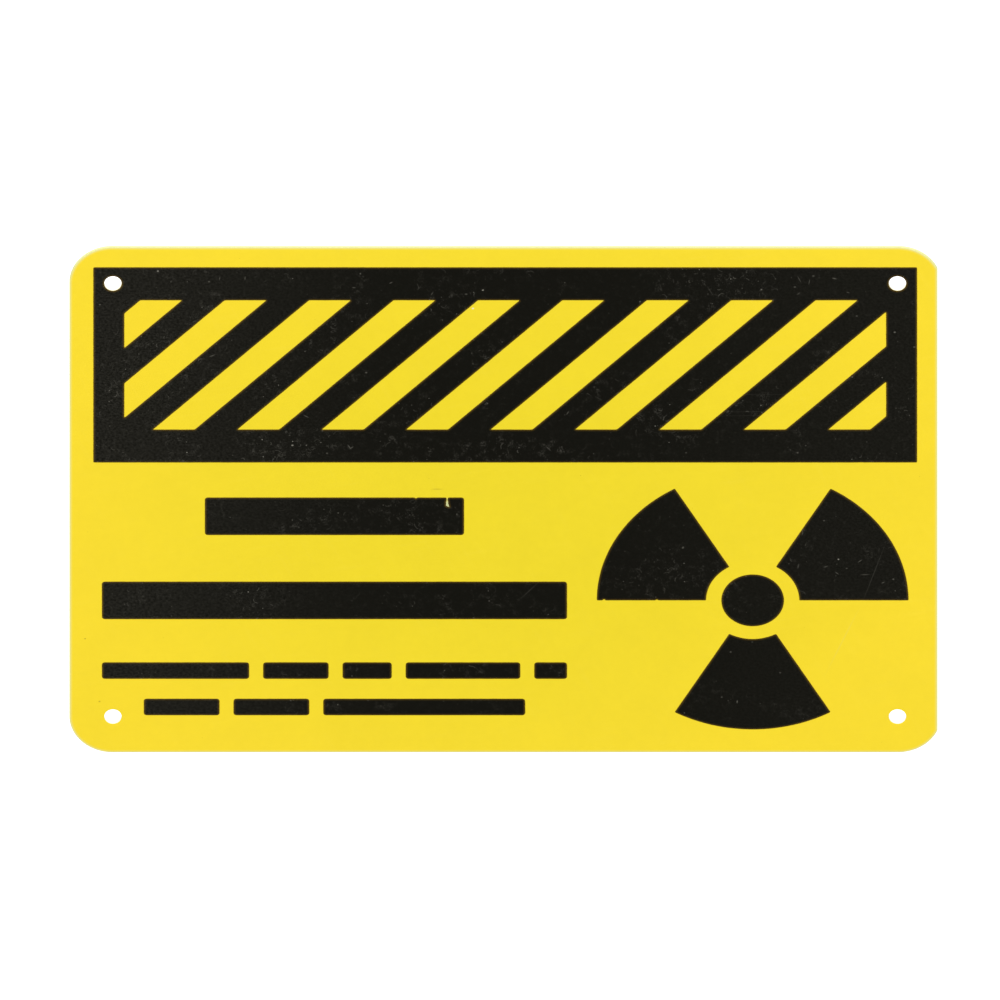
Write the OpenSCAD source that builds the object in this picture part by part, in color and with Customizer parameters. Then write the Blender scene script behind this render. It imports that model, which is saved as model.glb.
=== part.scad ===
// Radiation warning sign: a yellow plastic sheet with four screw holes, printed in black.
// The sheet stands upright with its face towards -Y, and its back lies on the plane y = 0.
// The print is a layer of ink on top of the sheet, so each printed field is a thin solid of its own.
// All sizes are millimetres. The origin is the centre of the four holes, at the back face.

/* [Sheet] */
// Width of the sheet as it was cut, before its right side was sheared
sheet_w = 254; // [210:0.1:400]
// Height of the sheet
sheet_h = 177.8; // [150:0.1:300]
// Thickness of the sheet
sheet_t = 1; // [0.5:0.05:3]
// Radius of the four corners, seen from the front
corner_r = 12.7; // [2:0.1:20]
// Radius that the die leaves on the rim, front and back
rim_r = 0.2; // [0.05:0.01:0.24]
// Width of the strip sheared off the right side, through its two rounded corners
sheared_w = 1; // [0.4:0.1:3]

/* [Screw holes] */
// Diameter of a screw hole
hole_d = 5; // [3:0.1:8]
// Distance from each edge to a hole's centre, before the right side was sheared
hole_inset = 12.7; // [8:0.1:25]
// Width of the ring around a hole where the punch has chipped the ink back
ink_setback = 0.2; // [0.1:0.01:0.5]

/* [Black header panel] */
// Thickness of the ink layer
ink_t = 0.1; // [0.05:0.01:0.2]
// Yellow border left above and beside the header panel, before the right side was sheared
border = 7; // [3:0.1:12]

/* [Slanted stripes in the header] */
// Black left at each end of the striped band
stripe_end_inset = 9; // [5:0.1:20]
// Black left above and below the striped band
stripe_side_inset = 11.6; // [6:0.1:18]
// Width of one yellow stripe, measured along the band
stripe_w = 12.2; // [6:0.1:20]
// Distance from one stripe to the next, measured along the band
stripe_pitch = 24.6; // [21:0.1:40]
// Slant of the stripes from upright, in degrees
stripe_slant = 45; // [20:1:55]

/* [Trefoil] */
// Radius of the disc in the middle
disc_r = 9.1; // [5:0.1:12]
// Inner radius of a blade
blade_in_r = 13.6; // [12.5:0.1:20]
// Outer radius of a blade
blade_out_r = 45.4; // [35:0.1:50]
// Angle that each of the three blades spans, in degrees
blade_span = 60; // [40:1:80]
// Yellow below the trefoil
trefoil_bottom_gap = 8.2; // [5:0.1:15]
// Yellow between the trefoil and the header panel
trefoil_top_gap = 9.2; // [5:0.1:15]

/* [Message bars] */
// Yellow left of the message and right of the trefoil, before the right side was sheared
lower_side_gap = 9.5; // [5:0.1:15]
// Yellow between the message column and the trefoil
column_gap = 8.7; // [5:0.1:20]
// Height of the two large bars
large_bar_h = 13.2; // [8:0.1:16]
// Height of the small bars
small_bar_h = 5.8; // [3:0.1:8]
// Radius on the corners of a bar
bar_corner_r = 0.8; // [0.2:0.1:1.4]
// Inset of the first line at both ends of the column
first_line_inset = 30; // [5:0.1:45]
// Inset of the fourth line at both ends of the column
fourth_line_inset = 12.2; // [2:0.1:30]
// Yellow between two bars of one line
word_gap = 4.1; // [2:0.1:6]
// Yellow below the fourth line
bottom_line_gap = 13.2; // [6:0.1:20]
// Yellow between the third line and the fourth
fourth_line_gap = 7; // [3:0.1:12]
// Yellow between the second line and the third
third_line_gap = 15.2; // [8:0.1:20]
// Yellow between the first line and the second
second_line_gap = 16.4; // [8:0.1:20]
// Yellow between the header panel and the first line
first_line_gap = 12.2; // [6:0.1:18]

/* [Hidden] */
// How the words of the two small lines share the length that their gaps leave
third_line_shares = [9, 4, 3, 7, 2];
fourth_line_shares = [3, 3, 8];

$fn = 96;
// Reach of a cut past the face that it opens
cut_over = 1;

// The blades share one turn evenly, and the first points straight down
blade_count = 3;
blade_step = 360 / blade_count;
first_blade_angle = -90;
// Direction of the upper edge of the blade to the right
upper_blade_top = first_blade_angle + blade_step + blade_span / 2;

// The lower field holds the trefoil and the message, and the header takes the rest of the height
trefoil_h = blade_out_r * (1 + sin(upper_blade_top));
small_lines_h = bottom_line_gap + small_bar_h + fourth_line_gap + small_bar_h;
large_lines_h = third_line_gap + large_bar_h + second_line_gap + large_bar_h;
trefoil_stack_h = trefoil_bottom_gap + trefoil_h + trefoil_top_gap;
message_stack_h = small_lines_h + large_lines_h + first_line_gap;
lower_field_h = max(trefoil_stack_h, message_stack_h);

header_w = sheet_w - 2 * border;
header_h = sheet_h - border - lower_field_h;
header_mid_z = sheet_h / 2 - border - header_h / 2;
band_w = header_w - 2 * stripe_end_inset;
band_h = header_h - 2 * stripe_side_inset;
band_lean = band_h * tan(stripe_slant);
stripes_each_side = ceil((band_w + band_lean) / 2 / stripe_pitch);

trefoil_x = sheet_w / 2 - lower_side_gap - blade_out_r;
trefoil_z = -sheet_h / 2 + trefoil_bottom_gap + blade_out_r;

column_w = sheet_w - 2 * lower_side_gap - 2 * blade_out_r - column_gap;
column_x = -sheet_w / 2 + lower_side_gap + column_w / 2;
fourth_line_z = -sheet_h / 2 + bottom_line_gap + small_bar_h / 2;
third_line_z = fourth_line_z + small_bar_h + fourth_line_gap;
second_line_z = third_line_z + small_bar_h / 2 + third_line_gap + large_bar_h / 2;
first_line_z = second_line_z + large_bar_h + second_line_gap;

// Sum of the first n entries of a list
function sum_to(list, n) = n == 0 ? 0 : list[n - 1] + sum_to(list, n - 1);

// Stands a shape that was drawn flat upright, so that its thickness grows from the back to the face
module upright() {
  rotate([90, 0, 0])
    children();
}

// A layer of ink on the face of the sheet
module ink() {
  color("#1a1912")
    upright()
      translate([0, 0, sheet_t])
        linear_extrude(ink_t)
          children();
}

// Places what it holds at the four screw holes
module at_holes() {
  for (x = [-1, 1])
    for (y = [-1, 1])
      translate([x * (sheet_w / 2 - hole_inset), y * (sheet_h / 2 - hole_inset)])
        children();
}

// Section through the sheet, from an inner line out to a rim that is rounded front and back
module rim_section(reach) {
  square([reach - rim_r, sheet_t]);
  translate([0, rim_r])
    square([reach, sheet_t - 2 * rim_r]);
  translate([reach - rim_r, rim_r])
    circle(rim_r);
  translate([reach - rim_r, sheet_t - rim_r])
    circle(rim_r);
}

// A straight run of that section, along an edge that faces +X, centred on its length
module rim_run(reach, length) {
  translate([0, length / 2, 0])
    rotate([90, 0, 0])
      linear_extrude(length)
        rim_section(reach);
}

// The blank sheet lying flat, made of straight runs and of four corners turned about their own centres
module blank() {
  inner_w = sheet_w - 2 * corner_r;
  inner_h = sheet_h - 2 * corner_r;
  for (side = [0, 180])
    rotate([0, 0, side])
      rim_run(sheet_w / 2, inner_h);
  for (side = [90, 270])
    rotate([0, 0, side])
      translate([inner_h / 2, 0, 0])
        rim_run(corner_r, inner_w);
  for (x = [-1, 1])
    for (y = [-1, 1])
      translate([x * inner_w / 2, y * inner_h / 2, 0])
        rotate_extrude()
          rim_section(corner_r);
}

// The strip that the shear takes off the right side, so that the two corners there end in a slight bend
module sheared_strip() {
  translate([sheet_w / 2 - sheared_w, -sheet_h / 2 - cut_over, -cut_over])
    cube([sheared_w + cut_over, sheet_h + 2 * cut_over, sheet_t + 2 * cut_over]);
}

module sheet() {
  color("#f5dd33")
    upright()
      difference() {
        blank();
        sheared_strip();
        translate([0, 0, -cut_over])
          at_holes()
            cylinder(d = hole_d, h = sheet_t + 2 * cut_over);
      }
}

// One slanted stripe, as tall as the band and centred on it
module stripe() {
  polygon([
    [(-band_lean - stripe_w) / 2, -band_h / 2],
    [(-band_lean + stripe_w) / 2, -band_h / 2],
    [(band_lean + stripe_w) / 2, band_h / 2],
    [(band_lean - stripe_w) / 2, band_h / 2]
  ]);
}

// Bare yellow stripes, cut off square at both ends of the band
module striped_band() {
  intersection() {
    square([band_w, band_h], center = true);
    for (i = [-stripes_each_side : stripes_each_side])
      translate([i * stripe_pitch, 0])
        stripe();
  }
}

module header_print() {
  ink()
    difference() {
      translate([0, header_mid_z])
        square([header_w, header_h], center = true);
      translate([0, header_mid_z])
        striped_band();
      at_holes()
        circle(d = hole_d + 2 * ink_setback);
    }
}

// One blade of the trefoil, spanning its angle about the +X direction
module blade() {
  reach = 2 * blade_out_r;
  intersection() {
    difference() {
      circle(blade_out_r);
      circle(blade_in_r);
    }
    polygon([
      [0, 0],
      [reach * cos(blade_span / 2), -reach * sin(blade_span / 2)],
      [reach * cos(blade_span / 2), reach * sin(blade_span / 2)]
    ]);
  }
}

module trefoil_print() {
  ink()
    translate([trefoil_x, trefoil_z]) {
      circle(disc_r);
      for (i = [0 : blade_count - 1])
        rotate(first_blade_angle + i * blade_step)
          blade();
    }
}

// A bar with slightly rounded corners, centred
module bar(w, h) {
  square([w - 2 * bar_corner_r, h], center = true);
  square([w, h - 2 * bar_corner_r], center = true);
  for (x = [-1, 1])
    for (y = [-1, 1])
      translate([x * (w / 2 - bar_corner_r), y * (h / 2 - bar_corner_r)])
        circle(bar_corner_r);
}

// A line of small bars that share the line's length and stand a word gap apart
module word_line(length, shares) {
  count = len(shares);
  unit = (length - (count - 1) * word_gap) / sum_to(shares, count);
  for (i = [0 : count - 1]) {
    start = -length / 2 + sum_to(shares, i) * unit + i * word_gap;
    translate([start + shares[i] * unit / 2, 0])
      bar(shares[i] * unit, small_bar_h);
  }
}

module message_print() {
  ink()
    translate([column_x, 0]) {
      translate([0, first_line_z])
        bar(column_w - 2 * first_line_inset, large_bar_h);
      translate([0, second_line_z])
        bar(column_w, large_bar_h);
      translate([0, third_line_z])
        word_line(column_w, third_line_shares);
      translate([0, fourth_line_z])
        word_line(column_w - 2 * fourth_line_inset, fourth_line_shares);
    }
}

sheet();
header_print();
trefoil_print();
message_print();
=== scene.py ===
import math

import bpy
import numpy as np
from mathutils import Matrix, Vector
from mathutils.geometry import delaunay_2d_cdt


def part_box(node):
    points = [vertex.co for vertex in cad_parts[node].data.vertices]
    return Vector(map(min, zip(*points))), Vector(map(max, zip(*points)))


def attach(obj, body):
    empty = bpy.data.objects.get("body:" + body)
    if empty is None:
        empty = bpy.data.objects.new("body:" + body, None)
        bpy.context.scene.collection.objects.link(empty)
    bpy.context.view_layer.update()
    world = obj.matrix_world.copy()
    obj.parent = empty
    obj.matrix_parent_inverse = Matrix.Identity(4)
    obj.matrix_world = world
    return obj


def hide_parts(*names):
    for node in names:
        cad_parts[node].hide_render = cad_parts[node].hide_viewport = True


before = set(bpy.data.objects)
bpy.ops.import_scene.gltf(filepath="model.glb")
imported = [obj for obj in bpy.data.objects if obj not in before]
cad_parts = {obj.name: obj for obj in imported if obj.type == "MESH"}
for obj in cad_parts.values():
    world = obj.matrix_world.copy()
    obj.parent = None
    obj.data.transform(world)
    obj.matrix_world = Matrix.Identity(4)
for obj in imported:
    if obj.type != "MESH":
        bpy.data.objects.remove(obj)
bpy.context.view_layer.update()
scene = bpy.context.scene
scene.view_settings.view_transform = "Standard"

mm = 0.001  # sizes below are in millimetres, and Blender's are in metres


# Lowest and highest corner of one solid, in millimetres
def boxOf(node):
    low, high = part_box(node)
    return np.array(low) / mm, np.array(high) / mm


# The same corners as seen from the front: across and up
def frontBoxOf(node):
    return [corner[[0, 2]] for corner in boxOf(node)]


sheetLow, sheetHigh = boxOf("sheet")
face, back = sheetLow[1], sheetHigh[1]  # the face looks along -Y
print("frame loaded, sheet", np.round(sheetHigh - sheetLow, 2), "mm")

# Flat lines. Each is a closed row of points, across and up, as seen from the front. Material lies to
# the left of the way a line runs: outlines run anticlockwise, openings clockwise.

meshing = {
    "fewest": 8,  # points on a line, however short
    "cornerPoints": 96,  # in each corner of an outline
    "edgePoints": 6,  # in each quarter round of an edge
    "sharpAngle": 40,  # edges that turn by more than this stay sharp, in degrees
    "collarKept": 0.9,  # share of its width that a collar keeps clear of every line
    "together": 1e-7,  # points nearer than this are one
    "batch": 400,  # points tested at once, so that the arrays stay small
}


# Points at equal steps along a closed line: the way is summed up, and read off at even distances
def evenSteps(points, step):
    closed = np.vstack([points, points[:1]])
    way = np.concatenate([[0], np.cumsum(np.hypot(*np.diff(closed, axis=0).T))])
    count = max(meshing["fewest"], round(way[-1] / step))
    at = np.linspace(0, way[-1], count, endpoint=False)
    return np.column_stack([np.interp(at, way, closed[:, 0]), np.interp(at, way, closed[:, 1])])


# Unit vectors into the material: from the last point to the next, turned a quarter to the left
def inwards(line):
    along = np.roll(line, -1, axis=0) - np.roll(line, 1, axis=0)
    along /= np.linalg.norm(along, axis=1, keepdims=True)
    return np.column_stack([-along[:, 1], along[:, 0]])


# Each row averaged with its neighbours on the closed line, weighted by a bell curve of some reach
def softened(rows, step, reach):
    count = len(rows)
    away = np.minimum(np.arange(count), count - np.arange(count)) * step
    bell = np.exp(-0.5 * (away / reach) ** 2)
    spectrum = np.fft.fft(rows, axis=0) * np.fft.fft(bell / bell.sum())[:, None]
    return np.fft.ifft(spectrum, axis=0).real


# Circle about a middle, anticlockwise: middle plus radius times cosine and sine
def circle(middle, radius, count):
    turn = np.linspace(0, 2 * np.pi, count, endpoint=False)
    return np.array(middle) + radius * np.column_stack([np.cos(turn), np.sin(turn)])


# Rectangle with round corners, anticlockwise from the lower right: four quarter circles about the
# points where the corners' radii meet. Extra points, if any, go into the upper edge, right to left.
def roundedBox(low, high, radius, upperEdge=()):
    quarter = np.linspace(0, np.pi / 2, meshing["cornerPoints"])
    places = [(high[0], low[1]), (high[0], high[1]), (low[0], high[1]), (low[0], low[1])]
    corners = []
    for i, place in enumerate(places):
        middle = np.clip(place, np.array(low) + radius, np.array(high) - radius)
        turn = quarter + (i - 1) * np.pi / 2
        corners.append(middle + radius * np.column_stack([np.cos(turn), np.sin(turn)]))
    corners[2:2] = [np.array(upperEdge).reshape(-1, 2)]
    return np.vstack(corners)


# Points in batches of an even size
def batches(points):
    return np.array_split(points, 1 + len(points) // meshing["batch"])


# True for the points within closed lines: a ray to the right crosses them an odd number of times
def within(points, lines):
    start = np.vstack(lines)
    end = np.vstack([np.roll(line, -1, axis=0) for line in lines])
    rise = end[:, 1] - start[:, 1]
    slope = (end[:, 0] - start[:, 0]) / np.where(rise == 0, np.inf, rise)
    odd = []
    for some in batches(points):
        x, z = some[:, :1], some[:, 1:]
        spans = (start[:, 1] > z) != (end[:, 1] > z)
        crosses = spans & (x < start[:, 0] + slope * (z - start[:, 1]))
        odd.append(crosses.sum(axis=1) % 2 == 1)
    return np.concatenate(odd)


# The points within closed lines that lie further than a distance from every point of the lines
def clearOf(points, lines, distance):
    rim = np.vstack(lines)
    kept = []
    for some in batches(points[within(points, lines)]):
        nearest = np.hypot(*(some[:, None] - rim).T).min(axis=0)
        kept.append(some[nearest > distance])
    return np.vstack(kept)


# Points and triangles that fill the area between closed lines. The points are those of a square net
# and, if there is a collar, one straight ahead of each point of the lines, at the collar's width.
# Those too close to a line are left out. The triangles are Delaunay's, held to the lines, and those
# outside are dropped. They count the points of the lines first and these after them.
def filled(lines, spacing, collar):
    rim = np.vstack(lines)
    reaches = zip(rim.min(axis=0), rim.max(axis=0))
    steps = [np.arange(low + spacing / 2, high, spacing) for low, high in reaches]
    net = clearOf(np.array(np.meshgrid(*steps)).reshape(2, -1).T, lines, spacing / 2)
    if collar:
        ahead = np.vstack([line + inwards(line) * collar for line in lines])
        net = np.vstack([net, clearOf(ahead, lines, meshing["collarKept"] * collar)])
    points = np.vstack([rim, net])
    ends, first = [], 0
    for line in lines:
        own = np.arange(len(line))
        ends.append(first + np.column_stack([own, np.roll(own, -1)]))
        first += len(line)
    made = delaunay_2d_cdt(points.tolist(), np.vstack(ends).tolist(), [], 0, meshing["together"], True)
    faces, origins = made[2:4]  # origins name the given points that each made point stands for
    triangles = np.array(origins)[:, 0][np.array(faces)]
    return net, triangles[within(points[triangles].mean(axis=1), lines)]


# Section of an edge from the back to the face, as rows of how far in from the line and where along Y.
# Each end is a quarter round (radius times one minus cosine, radius times one minus sine) and a flat.
# An edge with no radius at the back starts at the line, without a flat.
def edgeSection(backAt, faceAt, backRadius, faceRadius, flat):
    turn = np.linspace(0, np.pi / 2, meshing["edgePoints"])
    rows = []
    for at, radius, way in ((backAt, backRadius, -1), (faceAt, faceRadius, 1)):
        inset = radius * (1 - np.cos(turn))
        depth = at + way * radius * (1 - np.sin(turn))
        rows.append(np.column_stack([inset, depth])[::way])
    lastFlat = rows[1][-1:] + [[flat, 0]]
    if backRadius == 0:
        return np.vstack([[[0, backAt]], rows[1], lastFlat])
    return np.vstack([rows[0][:1] + [[flat, 0]], *rows, lastFlat])


# A flat body: a section is carried along each line as a grid of section rows by line points, moved
# inwards and along Y, and the first and last rings are filled, the last with a collar. Returns points,
# four-sided faces, triangles, and how far in from its line each point lies, up to the collar.
def flatBody(lines, spacing, collar=0):
    grids, idGrids, quads, insets, total = [], [], [], [], 0
    for line, section in lines:
        flat = line + inwards(line) * section[:, 0, None, None]
        depth = np.broadcast_to(section[:, 1, None], flat.shape[:2])
        grids.append(np.stack([flat[..., 0], depth, flat[..., 1]], axis=-1))
        ids = total + np.arange(depth.size).reshape(depth.shape)
        after = np.roll(ids, -1, axis=1)
        quads.append(np.stack([ids[:-1], after[:-1], after[1:], ids[1:]], axis=-1).reshape(-1, 4))
        idGrids.append(ids)
        insets.append(np.repeat(section[:, 0], len(line)))
        total += ids.size
    points, triangles = [grid.reshape(-1, 3) for grid in grids], []
    for ring, way, width in ((-1, 1, collar), (0, -1, 0)):
        net, faces = filled([grid[ring][:, [0, 2]] for grid in grids], spacing, width)
        depth = grids[0][ring, 0, 1]
        points.append(np.column_stack([net[:, 0], np.full(len(net), depth), net[:, 1]]))
        ids = np.concatenate([grid[ring] for grid in idGrids] + [total + np.arange(len(net))])
        triangles.append(ids[faces][:, ::way])
        insets.append(np.full(len(net), lines[0][1][ring, 0] + width))
        total += len(net)
    return np.vstack(points), np.vstack(quads), np.vstack(triangles), np.concatenate(insets)


# One piece from several bodies, standing for a solid of the frame. Its points keep their insets as an
# attribute, for what changes beside an edge.
def makePiece(name, bodies, material, node):
    points, faces, insets, total = [], [], [], 0
    for bodyPoints, quads, triangles, bodyInsets in bodies:
        points.append(bodyPoints * mm)
        insets.append(bodyInsets * mm)
        faces += (quads + total).tolist() + (triangles + total).tolist()
        total += len(bodyPoints)
    mesh = bpy.data.meshes.new(name)
    mesh.from_pydata(np.vstack(points).tolist(), [], faces)
    mesh.shade_smooth()
    mesh.set_sharp_from_angle(angle=math.radians(meshing["sharpAngle"]))
    mesh.attributes.new("inset", "FLOAT", "POINT").data.foreach_set("value", np.concatenate(insets))
    mesh.materials.append(material)
    piece = bpy.data.objects.new(name, mesh)
    scene.collection.objects.link(piece)
    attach(piece, "root")
    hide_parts(node)
    print(name, len(mesh.polygons), "faces")


# Materials

softness = {
    "markDepth": 0.5,  # reach of a mark in front of the face and behind it
    "markCore": 0.3,  # share of its size over which a mark has its full strength
    "grainLeast": 0.5,  # smallest grain against the largest
    "grainCore": 0.4,  # the same for a grain
    "hairCore": 0.7,  # and for a hair, along its length
}


# Linear numbers of an sRGB hex colour, by the standard curve: a straight foot, then a power
def colour(code):
    share = np.array([int(code[i:i + 2], 16) for i in (1, 3, 5)]) / 255
    return (*np.where(share <= 0.04045, share / 12.92, ((share + 0.055) / 1.055) ** 2.4), 1)


# Adds one node and gives back its outputs. Settings become its properties, and inputs become its
# numbers or its incoming links.
def addNode(tree, kind, inputs=(), **settings):
    node = tree.nodes.new("ShaderNode" + kind)
    for name, value in settings.items():
        setattr(node, name, value)
    for name, value in dict(inputs).items():
        if isinstance(value, bpy.types.NodeSocket):
            tree.links.new(value, node.inputs[name])
        else:
            node.inputs[name].default_value = value
    return node.outputs


# A new material with an empty tree
def newMaterial(name):
    material = bpy.data.materials.new(name)
    material.use_nodes = True
    material.node_tree.nodes.clear()
    return material, material.node_tree


# The places that patterns are drawn on: the object's own, and the same laid flat, across and up
def patternPlaces(tree):
    place = addNode(tree, "TexCoord")["Object"]
    axes = addNode(tree, "SeparateXYZ", {"Vector": place})
    flat = addNode(tree, "CombineXYZ", {"X": axes["X"], "Y": axes["Z"]})[0]
    return place, flat


# Sum of several shares, kept within 0 and 1
def summed(tree, shares):
    total = shares[0]
    for share in shares[1:]:
        total = addNode(tree, "Math", {0: total, 1: share}, operation="ADD", use_clamp=True)[0]
    return total


# How far a place lies inside each of some long soft marks on the face, as a list of shares. A mark is
# a stretched ball: the distance from its middle is taken in its own half lengths and half widths, and
# the share ends at 1. A mark of negative strength takes away from those it is summed with.
def markShares(tree, place, marks):
    shares = []
    for x, z, length, width, tilt, strength in marks:
        local = addNode(tree, "Mapping", {
            "Vector": place,
            "Location": (x * mm, face * mm, z * mm),
            "Rotation": (0, math.radians(-tilt), 0),
            "Scale": (length / 2 * mm, softness["markDepth"] * mm, width / 2 * mm),
        }, vector_type="TEXTURE")[0]
        away = addNode(tree, "VectorMath", {0: local}, operation="LENGTH")["Value"]
        share = addNode(tree, "MapRange", {
            "Value": away, "From Min": 1, "From Max": softness["markCore"], "To Max": strength})[0]
        shares.append(share)
    return shares


# Round grains scattered one to a cell: a grain is the area within a radius of the cell's point, and
# the cell's chance gives its size and how much of it shows
def grainShare(tree, flat, spacing, radius, held, strength):
    cell = addNode(tree, "TexVoronoi", {"Vector": flat, "Scale": 1 / (spacing * mm)},
                   voronoi_dimensions="2D")
    chance = addNode(tree, "SeparateColor", {"Color": cell["Color"]})
    largest = radius / spacing
    size = addNode(tree, "MapRange", {
        "Value": chance["Green"], "To Min": softness["grainLeast"] * largest, "To Max": largest})[0]
    near = addNode(tree, "Math", {0: cell["Distance"], 1: size}, operation="DIVIDE")[0]
    dot = addNode(tree, "MapRange", {
        "Value": near, "From Min": 1, "From Max": softness["grainCore"]})[0]
    shown = addNode(tree, "MapRange", {
        "Value": chance["Red"], "From Min": 1 - held, "To Max": strength})[0]
    return addNode(tree, "Math", {0: dot, 1: shown}, operation="MULTIPLY")[0]


# The sheet

sheet = {
    "cornerRadius": 12.7,
    "sheared": 1,  # strip cut off the right side, through its two rounded corners
    "rimRadius": 0.2,  # left by the die, front and back
    "holeRadius": 2.5,
    "holeInset": 12.7,
    "holeRollIn": 0.06,  # the punch drags the edge of the face in
    "holeBreakOut": 0.12,  # and breaks some plastic off the back
    "flat": 1.1,  # how far in the even band behind each rounded edge reaches
    "step": 0.5,
    "holeSteps": 96,
    "netSpacing": 5,
}

uncutHigh = sheetHigh + (sheet["sheared"], 0, 0)
sheetMiddle = (sheetLow + uncutHigh)[[0, 2]] / 2
holeReach = (uncutHigh - sheetLow)[[0, 2]] / 2 - sheet["holeInset"]
holeMiddles = [sheetMiddle + holeReach * (x, z) for x in (-1, 1) for z in (-1, 1)]

sheetFinish = {
    "middle": "#f1da26",
    "paintedEndLight": "#fadd2c",  # painted light: the yellow is brighter and warmer towards the left and right ends
    "paintedEndLightUp": 0.7,  # less so towards the upper and lower edge
    # size of the clouds, and how much they change the brightness
    "mottles": [(18, 0.025), (2.2, 0.02)],
    "mottleLevels": (0.3, 0.7),  # of the noise, where a cloud is darkest and brightest
    # spacing, radius, share of the cells that hold a grain, strength
    "grit": (11, 0.16, 0.12, 0.5),
    "gritColour": "#5c4a1c",
    # middle across, middle up, length, width, tilt in degrees, strength
    "stains": [
        (-19.9, 3.8, 4.4, 0.6, 0, 0.26), (-118.2, -70.9, 0.9, 0.8, 0, 0.38),
        (-122.4, -48.8, 0.7, 0.6, 0, 0.5)],
    "scratch": (98.3, -49.6, 30, 0.5, 67, 0.11),
    "bare": (-16.8, -1.8, 2.6, 5.6, 0, 1),  # under the flaked ink the plastic is paler
    "bareColour": "#d0d49a",
    "speck": (-9.4, 67.4, 0.9, 0.8, 0, 0.8),
    "speckColour": "#f4f2dc",
    "rim": "#e4eab0",  # along the outline the stretched plastic is paler
    "rimFade": 2,  # power by which that fades inwards
    "cut": "#e8e480",
    "cutFacing": (0.9, 0.3),  # how squarely the surface faces front or back, where a cut begins and ends
    "cutShare": 0.5,  # how much of that colour a cut edge has
    "punched": "#fbf9e6",  # shearing has whitened the plastic inside the holes
    "punchedReach": 0.03,  # and this far outside them
    "roughness": (0.42, 0.6),  # face, and cut edges
    "scuff": 0.1,  # most that one adds to the roughness
    "scuffSize": 0.8,
    "scuffDrawn": 25,  # how much longer than wide
    "scuffSlants": (12, -63),
    "scuffLevels": (0.62, 0.75),  # of the noise, where a scuff begins and is strongest
    "peel": 0.006,  # height of the slight waviness left by the rolls
    "peelSize": 3.5,
}


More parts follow.
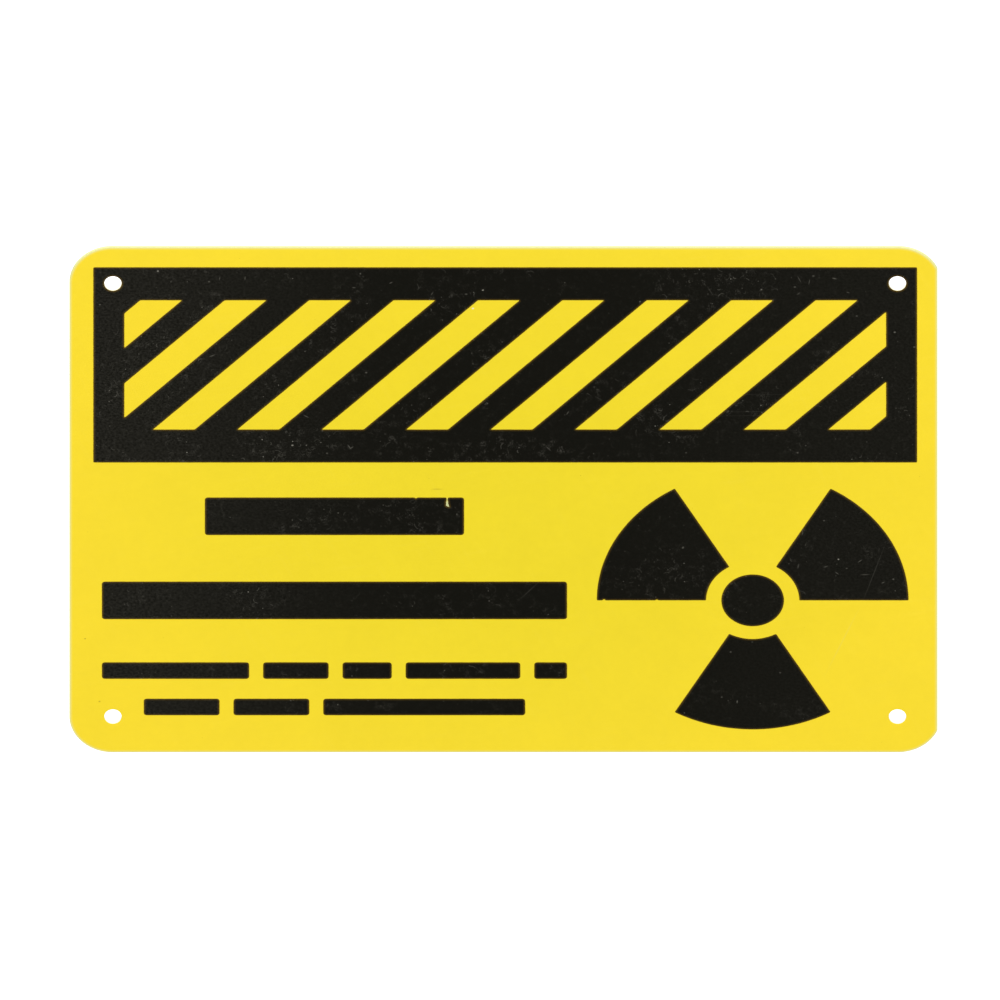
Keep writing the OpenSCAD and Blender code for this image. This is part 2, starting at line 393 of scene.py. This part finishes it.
# Polystyrene sheet, coloured through and calendered between satin rolls: a deep flat yellow with a
# soft sheen, slightly wavy in the light. Cut edges are duller and paler, where the die has stretched
# the plastic.
def calenderedSheet():
    material, tree = newMaterial("calenderedPolystyrene")
    place, flat = patternPlaces(tree)
    look = sheetFinish

    # Painted light, brighter by the square of the distance from the middle, taken in half widths and in
    # half heights
    half = (sheetHigh - sheetLow) / 2 * mm
    shares = (1 / half[0], 0, math.sqrt(look["paintedEndLightUp"]) / half[2])
    spread = addNode(tree, "VectorMath", {0: place, 1: shares}, operation="MULTIPLY")[0]
    paintedEndLight = addNode(tree, "VectorMath", {0: spread, 1: spread}, operation="DOT_PRODUCT")["Value"]
    paintedEndLight = addNode(tree, "MapRange", {"Value": paintedEndLight})[0]
    # The Mix node keeps its colours on inputs 6 and 7 and its result on output 2
    base = addNode(tree, "Mix", {0: paintedEndLight, 6: colour(look["middle"]), 7: colour(look["paintedEndLight"])},
                   data_type="RGBA")[2]

    darkest, brightest = look["mottleLevels"]
    for size, change in look["mottles"]:
        cloud = addNode(tree, "TexNoise", {"Vector": place, "Scale": 1 / (size * mm), "Detail": 4})[0]
        value = addNode(tree, "MapRange", {
            "Value": cloud, "From Min": darkest, "From Max": brightest,
            "To Min": 1 - change / 2, "To Max": 1 + change / 2})[0]
        base = addNode(tree, "HueSaturation", {"Value": value, "Color": base})[0]

    bare = summed(tree, markShares(tree, place, [look["bare"], look["scratch"]]))
    base = addNode(tree, "Mix", {0: bare, 6: base, 7: colour(look["bareColour"])}, data_type="RGBA")[2]
    stains = markShares(tree, place, look["stains"])
    grit = summed(tree, [grainShare(tree, flat, *look["grit"]), *stains])
    base = addNode(tree, "Mix", {0: grit, 6: base, 7: colour(look["gritColour"])}, data_type="RGBA")[2]
    speck = markShares(tree, place, [look["speck"]])[0]
    base = addNode(tree, "Mix", {0: speck, 6: base, 7: colour(look["speckColour"])}, data_type="RGBA")[2]

    # The holes stand equally far to both sides, so one distance from a mirrored place finds them all
    mirrored = addNode(tree, "VectorMath", {0: flat}, operation="ABSOLUTE")[0]
    away = addNode(tree, "VectorMath", {0: mirrored, 1: (*holeReach * mm, 0)},
                   operation="DISTANCE")["Value"]

    # The pale rim runs along the outline only, because a punch cuts cleaner
    inset = addNode(tree, "Attribute", attribute_name="inset")["Fac"]
    rim = addNode(tree, "MapRange", {"Value": inset, "From Min": sheet["flat"] * mm, "From Max": 0})[0]
    rim = addNode(tree, "Math", {0: rim, 1: look["rimFade"]}, operation="POWER")[0]
    holeBand = (sheet["holeRadius"] + sheet["flat"]) * mm
    clear = addNode(tree, "Math", {0: away, 1: holeBand}, operation="GREATER_THAN")[0]
    rim = addNode(tree, "Math", {0: rim, 1: clear}, operation="MULTIPLY")[0]
    base = addNode(tree, "Mix", {0: rim, 6: base, 7: colour(look["rim"])}, data_type="RGBA")[2]

    # A cut edge is where the surface looks neither forwards nor backwards
    normal = addNode(tree, "TexCoord")["Normal"]
    facing = addNode(tree, "SeparateXYZ", {"Vector": normal})["Y"]
    facing = addNode(tree, "Math", {0: facing}, operation="ABSOLUTE")[0]
    begins, ends = look["cutFacing"]
    cut = addNode(tree, "MapRange", {"Value": facing, "From Min": begins, "From Max": ends})[0]
    paler = addNode(tree, "Math", {0: cut, 1: look["cutShare"]}, operation="MULTIPLY")[0]
    base = addNode(tree, "Mix", {0: paler, 6: base, 7: colour(look["cut"])}, data_type="RGBA")[2]
    inHole = addNode(tree, "MapRange", {
        "Value": away, "From Min": (sheet["holeRadius"] + look["punchedReach"]) * mm,
        "From Max": sheet["holeRadius"] * mm})[0]
    base = addNode(tree, "Mix", {0: inHole, 6: base, 7: colour(look["punched"])}, data_type="RGBA")[2]

    # Scuffs are noise drawn out along two slants, and they only change the sheen
    faceRough, cutRough = look["roughness"]
    rough = addNode(tree, "MapRange", {"Value": cut, "To Min": faceRough, "To Max": cutRough})[0]
    begins, strongest = look["scuffLevels"]
    for tilt in look["scuffSlants"]:
        along = addNode(tree, "Mapping", {
            "Vector": flat, "Rotation": (0, 0, math.radians(tilt)), "Scale": (look["scuffDrawn"], 1, 1),
        }, vector_type="TEXTURE")[0]
        line = addNode(tree, "TexNoise", {"Vector": along, "Scale": 1 / (look["scuffSize"] * mm)},
                       noise_dimensions="2D")[0]
        scuff = addNode(tree, "MapRange", {
            "Value": line, "From Min": begins, "From Max": strongest, "To Max": look["scuff"]})[0]
        rough = summed(tree, [rough, scuff])

    peel = addNode(tree, "TexNoise", {
        "Vector": place, "Scale": 1 / (look["peelSize"] * mm), "Detail": 2})[0]
    bump = addNode(tree, "Bump", {"Height": peel, "Distance": look["peel"] * mm})[0]
    shader = addNode(tree, "BsdfPrincipled", {
        "Base Color": base, "Roughness": rough, "Normal": bump})[0]
    addNode(tree, "OutputMaterial", {"Surface": shader})
    return material


# The blank's outline and four punched holes, each with its own edge
def plasticSheet():
    size = sheet
    rim = edgeSection(back, face, size["rimRadius"], size["rimRadius"], size["flat"])
    hole = edgeSection(back, face, size["holeBreakOut"], size["holeRollIn"], size["flat"])
    outline = roundedBox(sheetLow[[0, 2]], uncutHigh[[0, 2]], size["cornerRadius"])
    outline[:, 0] = np.minimum(outline[:, 0], sheetHigh[0])
    lines = [(evenSteps(outline, size["step"]), rim)]
    for middle in holeMiddles:
        lines.append((circle(middle, size["holeRadius"], size["holeSteps"])[::-1], hole))
    return flatBody(lines, size["netSpacing"])


makePiece("plasticSheet", [plasticSheet()], calenderedSheet(), "sheet")
print("sheet made")

# The print

inkFinish = {
    "black": "#0a0903",
    "thin": "#54400a",  # the film runs out thin at its edges, and the yellow shows through
    "thinTo": 0.74,
    "thinFade": 1.4,  # power by which that fades inwards
    "specular": 0.25,
    "roughness": (0.38, 0.75),  # clean, and under dust
    "fullyRough": 0.5,  # share of dust from which the ink is as rough as it gets
    "tooth": 0.004,  # height of the dried film's fine roughness
    "toothSize": 0.5,  # drawn this coarse because the real tooth is too fine to show
    "dustAndSheen": "#aeaa9c",
    # spacing, radius, share of the cells that hold a grain, strength
    "grains": [(1.2, 0.14, 0.6, 0.13), (4.4, 0.26, 0.4, 0.55)],
    # spacing, radius of the bend, reach to each side, width, share of the cells that hold one, strength
    "hairs": [(4.2, 0.7, 0.7, 0.28, 0.45, 0.2), (8, 1.6, 1.3, 0.28, 0.45, 0.19)],
    "hairSwaySize": 2.5,  # size of the noise that bends the hairs further
    "hairSway": 1,  # most that it moves them
    "tangle": (1.5, 0.15, 0.085),  # spacing of the loops, width, strength
    "tangleBend": 1.5,
    "tangleBreaks": 1.7,  # size of the gaps in it, against the loops
    "tangleLevels": (0.5, 0.62),  # of the noise, where the tangle begins and is whole
    # grains, hairs and tangles crowd in clouds, and in the places named below
    "cloudSize": 20,
    "cloudLevels": (0.48, 0.72),  # of the noise, where a cloud begins and is densest
    "cloudLeast": 0.15,  # density outside the clouds
    # film of fine dust, and towards each end of the sign more of it as painted sheen
    "powderSize": 0.6,  # drawn this coarse because real dust is too fine to show
    "powderCrisp": 0.75,  # strength of each finer layer of grain against the one before
    "powderDrawn": 1.4,  # how much longer than tall wiping has left the grain
    "powderLevels": (0.34, 0.74),  # of the noise, where dust begins and is densest
    "hazeAll": 0.004,
    # painted sheen towards the left and right ends, drawn in the dust colour
    "paintedSheenEnds": {-1: 0.04, 1: 0.015},
    "hazeFrom": 20,  # how far from the middle that begins
    "hazeTo": 125,  # and where it is strongest
    # middle across, middle up, length, width, tilt in degrees, strength; places wiped clean are negative
    "crowds": [
        (-61, 20, 40, 14, 0, 1), (1, 18.5, 46, 11, 0, 1), (64, 75, 34, 22, 0, 0.8),
        (42, -28, 40, 18, 0, 0.5), (-100, 48, 50, 90, 0, 0.4), (72, -66, 64, 40, 0, -0.7),
        (109, -28, 26, 24, 0, -0.7)],
    "rubs": [
        (71.9, 37.2, 35, 0.35, 0, 0.02), (73, 31.2, 34, 0.35, 0.5, 0.025),
        (72, 29.8, 30, 0.35, 1, 0.02), (59.8, 73.5, 4.4, 0.4, 118, 0.05),
        (6.9, -32, 10.4, 0.4, 48, 0.05), (107.4, -25.8, 25, 0.4, 72, 0.045),
        (12.6, 18.2, 3, 0.4, -50, 0.11)],
    "specks": [
        (-6.5, 73.9, 0.8, 0.6, 20, 0.6), (-101.2, 80.6, 0.8, 0.8, 0, 0.45),
        (-86.3, 76.9, 0.8, 0.7, 0, 0.16), (-118.1, 68.8, 0.8, 0.6, 0, 0.2),
        (-109.6, 63.9, 0.8, 0.7, 0, 0.15), (-42.2, 79.7, 0.8, 0.6, 80, 0.2),
        (113.1, -27.8, 0.8, 0.7, 0, 0.17), (99.5, -24, 0.8, 0.6, 0, 0.12),
        (92.9, -7.2, 0.8, 0.7, 0, 0.14), (101.6, 70, 0.8, 0.7, 0, 0.3),
        (102.4, 64.8, 0.9, 0.6, 0, 0.13), (113.5, 59.1, 0.9, 0.7, 0, 0.25),
        (119.2, 53.9, 0.9, 0.7, 0, 0.15), (89.8, 78.9, 1, 0.8, 0, 0.13),
        (84.4, 75, 1, 0.8, 0, 0.13), (80.1, -60.7, 0.8, 0.7, 0, 0.11),
        (72, -49.9, 0.8, 0.6, 0, 0.08), (63.1, -69.3, 0.8, 0.7, 0, 0.12),
        (59.8, 52.7, 1.2, 1.4, 0, 0.35), (72, 70.2, 0.8, 0.7, 0, 0.3),
        (39.3, 69.9, 0.8, 0.7, 0, 0.2), (-40.5, 44.9, 0.9, 0.8, 0, 0.16),
        (85.2, 16.7, 0.8, 0.8, 0, 0.15), (52.7, 16.7, 0.8, 0.7, 0, 0.1),
        (51.8, -16.7, 1.1, 0.8, 60, 0.16), (97.1, -20.8, 0.7, 0.6, 0, 0.6),
        (67.6, -70.9, 1.4, 0.5, 88, 0.2), (65.7, -53.4, 0.8, 0.7, 0, 0.14),
        (-51.9, 16.5, 0.8, 0.7, 0, 0.14)],
    "lint": [
        (95.9, 78, 1.8, 0.6, -15, 0.17), (88.6, 76.8, 2.4, 0.4, 80, 0.12),
        (85.7, 77.7, 3, 0.4, -65, 0.11), (99.9, 73.1, 1.3, 0.5, -20, 0.11),
        (85.5, 72.7, 1.6, 0.5, 40, 0.1), (-83.2, 78, 1.7, 0.45, 80, 0.12),
        (-75.8, 78.1, 1.8, 0.45, 85, 0.12), (-33.3, 76.5, 1.4, 0.5, 30, 0.14),
        (-44.1, 74.8, 1.4, 0.5, 0, 0.14), (-21.3, 72.7, 1.8, 0.4, 60, 0.13),
        (-11.4, 72.5, 1.1, 0.6, 0, 0.14), (103.4, -21.4, 2, 0.45, 40, 0.14),
        (96.7, -25.7, 1.8, 0.45, -40, 0.13), (110.1, -29, 1.4, 0.45, 30, 0.14),
        (104.8, -26.2, 3.2, 0.5, 3, 0.1), (93.4, -23.4, 1.8, 0.6, 20, 0.11),
        (85.4, -23.2, 2.2, 0.6, 80, 0.1), (-85.4, 50.8, 2.6, 0.4, 25, 0.17),
        (-45.4, 18.7, 2.4, 0.5, -60, 0.16), (-44.7, 18.5, 1.5, 0.5, 40, 0.14),
        (-62, 19.3, 0.9, 0.7, 10, 0.5), (-58, 29.5, 2.2, 0.4, -30, 0.16),
        (18.2, 30.7, 1.8, 0.4, 60, 0.14)],
}


# Short bent hairs, one to a cell: a hair is the stretch of a ring that runs through the cell's point,
# turned by the cell's chance and cut off at its reach
def hairShare(tree, swayed, spacing, bend, reach, width, held, strength):
    cell = addNode(tree, "TexVoronoi", {"Vector": swayed, "Scale": 1 / (spacing * mm)},
                   voronoi_dimensions="2D")
    chance = addNode(tree, "SeparateColor", {"Color": cell["Color"]})
    local = addNode(tree, "VectorMath", {0: swayed, 1: cell["Position"]}, operation="SUBTRACT")[0]
    angle = addNode(tree, "Math", {0: chance["Blue"], 1: 2 * math.pi}, operation="MULTIPLY")[0]
    turned = addNode(tree, "VectorRotate", {"Vector": local, "Angle": angle}, rotation_type="Z_AXIS")[0]
    away = addNode(tree, "VectorMath", {0: turned, 1: (0, bend * mm, 0)}, operation="DISTANCE")["Value"]
    offRing = addNode(tree, "Math", {0: away, 1: bend * mm}, operation="SUBTRACT")[0]
    offRing = addNode(tree, "Math", {0: offRing}, operation="ABSOLUTE")[0]
    strand = addNode(tree, "MapRange", {
        "Value": offRing, "From Min": width / 2 * mm, "From Max": 0})[0]
    reached = addNode(tree, "VectorMath", {0: turned}, operation="LENGTH")["Value"]
    ended = addNode(tree, "MapRange", {
        "Value": reached, "From Min": reach * mm, "From Max": softness["hairCore"] * reach * mm})[0]
    shown = addNode(tree, "MapRange", {
        "Value": chance["Red"], "From Min": 1 - held, "To Max": strength})[0]
    hair = addNode(tree, "Math", {0: strand, 1: ended}, operation="MULTIPLY")[0]
    return addNode(tree, "Math", {0: hair, 1: shown}, operation="MULTIPLY")[0]


# Tangles of lint: thin lines where a bent noise passes its middle value, broken up by a coarser noise
def tangleShare(tree, flat, spacing, width, strength):
    look = inkFinish
    loops = addNode(tree, "TexNoise", {
        "Vector": flat, "Scale": 1 / (spacing * mm), "Detail": 1, "Distortion": look["tangleBend"],
    }, noise_dimensions="2D")[0]
    off = addNode(tree, "Math", {0: loops, 1: 0.5}, operation="SUBTRACT")[0]
    off = addNode(tree, "Math", {0: off}, operation="ABSOLUTE")[0]
    line = addNode(tree, "MapRange", {
        "Value": off, "From Min": width / spacing / 2, "From Max": 0})[0]
    breaks = addNode(tree, "TexNoise", {
        "Vector": flat, "Scale": 1 / (look["tangleBreaks"] * spacing * mm)}, noise_dimensions="2D")[0]
    begins, whole = look["tangleLevels"]
    shown = addNode(tree, "MapRange", {
        "Value": breaks, "From Min": begins, "From Max": whole, "To Max": strength})[0]
    return addNode(tree, "Math", {0: line, 1: shown}, operation="MULTIPLY")[0]


# Grains, hairs and tangles of lint, as dense as the clouds and the crowded places make them
def lyingLint(tree, place, flat):
    look = inkFinish
    cloud = addNode(tree, "TexNoise", {
        "Vector": flat, "Scale": 1 / (look["cloudSize"] * mm), "Detail": 3}, noise_dimensions="2D")[0]
    begins, densest = look["cloudLevels"]
    cloud = addNode(tree, "MapRange", {
        "Value": cloud, "From Min": begins, "From Max": densest, "To Min": look["cloudLeast"]})[0]
    crowd = summed(tree, [cloud, *markShares(tree, place, look["crowds"])])
    sway = addNode(tree, "TexNoise", {
        "Vector": flat, "Scale": 1 / (look["hairSwaySize"] * mm)}, noise_dimensions="2D")["Color"]
    most = look["hairSway"] * mm
    swayed = addNode(tree, "VectorMath", {0: sway, 1: (most, most, 0), 2: flat},
                     operation="MULTIPLY_ADD")[0]
    lying = [grainShare(tree, flat, *grain) for grain in look["grains"]]
    lying += [hairShare(tree, swayed, *hair) for hair in look["hairs"]]
    lying.append(tangleShare(tree, flat, *look["tangle"]))
    return addNode(tree, "Math", {0: summed(tree, lying), 1: crowd}, operation="MULTIPLY")[0]


# The film of fine dust, with painted sheen towards the ends drawn as more of it: it is grainy, and wiping
# has drawn its grain out a little sideways
def dustFilmAndSheen(tree, flat):
    look = inkFinish
    wiped = addNode(tree, "Mapping", {"Vector": flat, "Scale": (1 / look["powderDrawn"], 1, 1)})[0]
    powder = addNode(tree, "TexNoise", {
        "Vector": wiped, "Scale": 1 / (look["powderSize"] * mm), "Detail": 3,
        "Roughness": look["powderCrisp"],
    }, noise_dimensions="2D")[0]
    begins, densest = look["powderLevels"]
    powder = addNode(tree, "MapRange", {"Value": powder, "From Min": begins, "From Max": densest})[0]
    across = addNode(tree, "SeparateXYZ", {"Vector": flat})["X"]
    haze = [look["hazeAll"]]
    # painted sheen, growing towards each end
    for side, strength in look["paintedSheenEnds"].items():
        haze.append(addNode(tree, "MapRange", {
            "Value": across, "From Min": side * look["hazeFrom"] * mm,
            "From Max": side * look["hazeTo"] * mm, "To Max": strength,
        }, interpolation_type="SMOOTHSTEP")[0])
    return addNode(tree, "Math", {0: summed(tree, haze), 1: powder}, operation="MULTIPLY")[0]


# Solvent ink pulled through a screen and air-dried on plastic: nearly black, with a low even gloss.
# Dust, lint and light rubs lie on it, and towards each end a veil of painted sheen. They are what the
# eye reads first, as pale grains and short bent hairs.
def screenPrintedInk():
    material, tree = newMaterial("screenPrintedInk")
    place, flat = patternPlaces(tree)
    look = inkFinish
    marks = markShares(tree, place, look["rubs"] + look["specks"] + look["lint"])
    dustAndSheen = summed(tree, [lyingLint(tree, place, flat), dustFilmAndSheen(tree, flat), *marks])

    inset = addNode(tree, "Attribute", attribute_name="inset")["Fac"]
    thin = addNode(tree, "MapRange", {
        "Value": inset, "From Min": look["thinTo"] * mm, "From Max": 0})[0]
    thin = addNode(tree, "Math", {0: thin, 1: look["thinFade"]}, operation="POWER")[0]
    base = addNode(tree, "Mix", {0: thin, 6: colour(look["black"]), 7: colour(look["thin"])},
                   data_type="RGBA")[2]
    # the dust colour paints both the dust and the painted sheen at the ends
    base = addNode(tree, "Mix", {0: dustAndSheen, 6: base, 7: colour(look["dustAndSheen"])}, data_type="RGBA")[2]
    clean, dusty = look["roughness"]
    rough = addNode(tree, "MapRange", {
        "Value": dustAndSheen, "From Max": look["fullyRough"], "To Min": clean, "To Max": dusty})[0]
    tooth = addNode(tree, "TexNoise", {
        "Vector": place, "Scale": 1 / (look["toothSize"] * mm), "Detail": 3})[0]
    bump = addNode(tree, "Bump", {"Height": tooth, "Distance": look["tooth"] * mm})[0]
    shader = addNode(tree, "BsdfPrincipled", {
        "Base Color": base, "Roughness": rough, "Normal": bump, "Specular IOR Level": look["specular"]})[0]
    addNode(tree, "OutputMaterial", {"Surface": shader})
    return material


blackInk = screenPrintedInk()

film = {
    "sunk": 0.01,  # how far the film reaches into the sheet, so that no two faces coincide
    "shoulder": 0.05,  # radius at which the wet edge rounded off
    "flat": 0.09,
    "step": 0.3,
    "flow": 0.2,  # reach over which corners ran together
    "wander": 0.008,  # how far the edge strays from a true line
    "wanderReach": 0.5,
    "netSpacing": 4,
    "collar": 0.6,  # width beside the flat on which the ink thins out
}

filmTop = boxOf("header_print")[0][1]
filmSection = edgeSection(face + film["sunk"], filmTop, 0, film["shoulder"], film["flat"])


# One field of ink between closed lines
def inkField(lines):
    return flatBody([(line, filmSection) for line in lines], film["netSpacing"], film["collar"])


# The edge of a field: even steps, corners run together, and a slight seeded wander to either side
def inkLine(points, seed, step=film["step"]):
    line = softened(evenSteps(points, step), step, film["flow"])
    draws = np.random.default_rng(seed).standard_normal((len(line), 1))
    stray = softened(draws, step, film["wanderReach"])
    return line + inwards(line) * stray * film["wander"] / stray.std()


# Bites out of an edge: near each one the line steps inwards, most in the middle, by a bell curve
def bitten(line, bites):
    inward = inwards(line)
    for x, z, width, depth in bites:
        away = np.hypot(line[:, 0] - x, line[:, 1] - z)
        line = line + inward * depth * np.exp(-(away / width) ** 2)[:, None]
    return line


header = {
    "cornerRadius": 0.1,
    "endInset": 9,  # black at the ends of the striped band
    "sideInset": 11.6,  # black above and below it
    "stripe": 12.2,
    "pitch": 24.6,
    "slant": 45,
    "stripeLevels": 300,
    "narrowest": 0.1,  # a stripe cut off by an end of the band runs out at this width
    "holeRing": 0.05,  # ink chipped back around the upper holes
    "step": 0.4,
    "seed": 1,
    "stripeSeed": 20,
}


# One bare slanted stripe: its left and right end on each level, held between the ends of the band
def stripeLine(middle, lean, low, high):
    up = np.linspace(low[1], high[1], header["stripeLevels"])
    across = middle + lean * ((up - low[1]) / (high[1] - low[1]) - 0.5)
    left = np.clip(across - header["stripe"] / 2, low[0], high[0])
    right = np.clip(across + header["stripe"] / 2, low[0], high[0])
    kept = right - left > header["narrowest"]
    return np.vstack([np.column_stack([left, up])[kept], np.column_stack([right, up])[kept][::-1]])


# The header panel, open at every stripe and at the two upper holes
def headerPrint():
    size = header
    low, high = frontBoxOf("header_print")
    inset = np.array([size["endInset"], size["sideInset"]])
    bandLow, bandHigh = low + inset, high - inset
    bandWidth, bandHeight = bandHigh - bandLow
    middle = (low + high) / 2
    lean = bandHeight * math.tan(math.radians(size["slant"]))
    each = math.ceil((bandWidth + lean) / 2 / size["pitch"])
    lines = [inkLine(roundedBox(low, high, size["cornerRadius"]), size["seed"], size["step"])]
    for i in range(-each, each + 1):
        stripe = stripeLine(middle[0] + i * size["pitch"], lean, bandLow, bandHigh)
        if len(stripe) > 2:
            lines.append(inkLine(stripe, size["stripeSeed"] + i, size["step"]))
    radius = sheet["holeRadius"] + size["holeRing"]
    upperHoles = [hole for hole in holeMiddles if hole[1] > low[1]]
    lines += [circle(hole, radius, sheet["holeSteps"])[::-1] for hole in upperHoles]
    return [inkField(lines)]


makePiece("headerInk", headerPrint(), blackInk, "header_print")

trefoil = {
    "disc": 9.1,
    "discPoints": 200,
    "bladeInner": 13.6,
    "bladeSpan": 60,
    "arcPoints": 160,
    "firstBlade": -90,
    "blades": 3,
    "seed": 40,
    # across, up, width and depth of small bites in the edges
    "bites": [(28.8, -35.3, 0.3, 0.45), (44.2, -35.3, 0.3, 0.35)],
}


# The disc and three blades: a blade runs out along its outer arc and back along its inner one
def trefoilPrint():
    size = trefoil
    low, high = frontBoxOf("trefoil_print")
    outer = (high - low)[0] / 2
    middle = low + outer
    lines = [inkLine(circle(middle, size["disc"], size["discPoints"]), size["seed"])]
    fan = np.linspace(-0.5, 0.5, size["arcPoints"]) * size["bladeSpan"]
    for i in range(size["blades"]):
        turn = np.radians(size["firstBlade"] + i * 360 / size["blades"] + fan)
        ray = np.column_stack([np.cos(turn), np.sin(turn)])
        blade = middle + np.vstack([outer * ray, size["bladeInner"] * ray[::-1]])
        lines.append(bitten(inkLine(blade, size["seed"] + 1 + i), size["bites"]))
    return [inkField([line]) for line in lines]


makePiece("trefoilInk", trefoilPrint(), blackInk, "trefoil_print")

message = {
    "cornerRadius": 0.8,
    "barGap": 4.1,
    # from the lowest: bare height below it, its height, its inset at both ends, shares of its bars
    "lines": [
        (0, 5.8, 12.2, (3, 3, 8)), (7, 5.8, 0, (9, 4, 3, 7, 2)),
        (15.2, 13.2, 0, (1,)), (16.4, 13.2, 30, (1,))],
    "seed": 60,
    "seedsPerLine": 10,
    # a flake gone from the upper edge of the top line, right to left: across from its place, and down
    "flakeAt": -16.9,
    "flake": [
        (0.27, 0), (0.2, -0.5), (0.06, -0.95), (0.32, -1.4), (0.24, -1.9), (0.42, -2.5), (0.64, -3.4),
        (0.2, -3.15), (-0.44, -2.85), (-0.28, -2.2), (-0.4, -1.6), (-0.18, -1.1), (-0.2, -0.5),
        (-0.27, 0)],
    "flakeStep": 0.12,
    "bites": [(-26, 0.9, 0.35, 0.3)],
}


# Four lines of plain bars: each line shares its length among its bars, which stand one gap apart
def messagePrint():
    size = message
    low, high = frontBoxOf("message_print")
    bodies, top = [], low[1]
    for i, (below, height, inset, shares) in enumerate(size["lines"]):
        up = top + below
        top = up + height
        flake, step = (), film["step"]
        if i == len(size["lines"]) - 1:
            flake, step = np.array(size["flake"]) + (size["flakeAt"], top), size["flakeStep"]
        gaps = size["barGap"] * (len(shares) - 1)
        unit = ((high - low)[0] - 2 * inset - gaps) / sum(shares)
        left = low[0] + inset
        for j, share in enumerate(shares):
            right = left + share * unit
            bar = roundedBox((left, up), (right, top), size["cornerRadius"], flake)
            seed = size["seed"] + size["seedsPerLine"] * i + j
            bodies.append(inkField([bitten(inkLine(bar, seed, step), size["bites"])]))
            left = right + size["barGap"]
    return bodies


makePiece("messageInk", messagePrint(), blackInk, "message_print")
print("print made")

# Studio

studio = {
    "floorBelow": 210,  # under the sign's lower edge, because its mount holds it
    "floorSize": 6000,
    "floorWhite": 0.8,  # to the camera
    "floorGlow": 0.4,
    "floorGrey": 0.1,  # to the light that it sends back
    "lamps": [  # direction across from the front, height in degrees, distance, width, power in watts
        (-48, 12, 5000, 2200, 147), (48, 12, 5000, 2200, 147), (180, 40, 4000, 2600, 170)],
    "roomLight": 0.45,
    "elevation": 34.1,
    "pixelsPerMm": 3.432,
    "picture": 1000,  # width of the picture in pixels
    "signMiddle": 505.2,  # where the sign's middle stands in it
    "cameraDistance": 1500,
}


# Unit vector from the sign towards an azimuth (0 is straight in front) and an elevation, in degrees
def towards(azimuth, elevation):
    a, e = math.radians(azimuth), math.radians(elevation)
    return np.array([math.sin(a) * math.cos(e), -math.cos(a) * math.cos(e), math.sin(e)])


# Adds an object to the scene, in a direction and at a distance from a middle, looking back at it
def aimFrom(thing, azimuth, elevation, distance, middle=(0, 0, 0)):
    way = towards(azimuth, elevation)
    thing.location = (way * distance + middle) * mm
    thing.rotation_euler = Vector(way).to_track_quat("Z", "Y").to_euler()
    scene.collection.objects.link(thing)


# Plain painted board: white to the camera, and dark grey to the light that it sends back to the sign,
# so that the black ink doesn't mirror a white floor. A little light of its own lifts it to white
# where no shadow falls.
def paintedBoard():
    material, tree = newMaterial("paintedBoard")
    seen = addNode(tree, "LightPath")["Is Camera Ray"]
    white = addNode(tree, "BsdfDiffuse", {"Color": (*[studio["floorWhite"]] * 3, 1)})[0]
    glow = addNode(tree, "Emission", {"Color": (1, 1, 1, 1), "Strength": studio["floorGlow"]})[0]
    bright = addNode(tree, "AddShader", {0: white, 1: glow})[0]
    grey = addNode(tree, "BsdfDiffuse", {"Color": (*[studio["floorGrey"]] * 3, 1)})[0]
    mixed = addNode(tree, "MixShader", {0: seen, 1: grey, 2: bright})[0]
    addNode(tree, "OutputMaterial", {"Surface": mixed})
    return material


reach = studio["floorSize"] / 2 * mm
floorAt = (sheetLow[2] - studio["floorBelow"]) * mm
corners = [(x * reach, y * reach, floorAt) for x, y in ((-1, -1), (1, -1), (1, 1), (-1, 1))]
floorMesh = bpy.data.meshes.new("floor")
floorMesh.from_pydata(corners, [], [(0, 1, 2, 3)])
floorMesh.materials.append(paintedBoard())
floor = bpy.data.objects.new("floor", floorMesh)
scene.collection.objects.link(floor)

for i, (azimuth, elevation, distance, width, power) in enumerate(studio["lamps"]):
    lamp = bpy.data.lights.new(f"softbox{i + 1}", "AREA")
    lamp.shape = "SQUARE"
    lamp.size = width * mm
    lamp.energy = power
    aimFrom(bpy.data.objects.new(lamp.name, lamp), azimuth, elevation, distance)

# The room is white to the camera and a plain grey to everything else
world = bpy.data.worlds.new("room")
world.use_nodes = True
tree = world.node_tree
tree.nodes.clear()
seen = addNode(tree, "LightPath")["Is Camera Ray"]
level = addNode(tree, "MapRange", {"Value": seen, "To Min": studio["roomLight"], "To Max": 1})[0]
shade = addNode(tree, "Background", {"Color": (1, 1, 1, 1), "Strength": level})[0]
addNode(tree, "OutputWorld", {"Surface": shade})
scene.world = world

# Seen in parallel from above the face, so that round holes show as the ellipses of the picture
lens = bpy.data.cameras.new("camera")
lens.type = "ORTHO"
lens.ortho_scale = studio["picture"] / studio["pixelsPerMm"] * mm
camera = bpy.data.objects.new("camera", lens)
aside = (studio["picture"] / 2 - studio["signMiddle"]) / studio["pixelsPerMm"]
aimFrom(camera, 0, studio["elevation"], studio["cameraDistance"], (aside, face, 0))
scene.camera = camera
print("studio made")
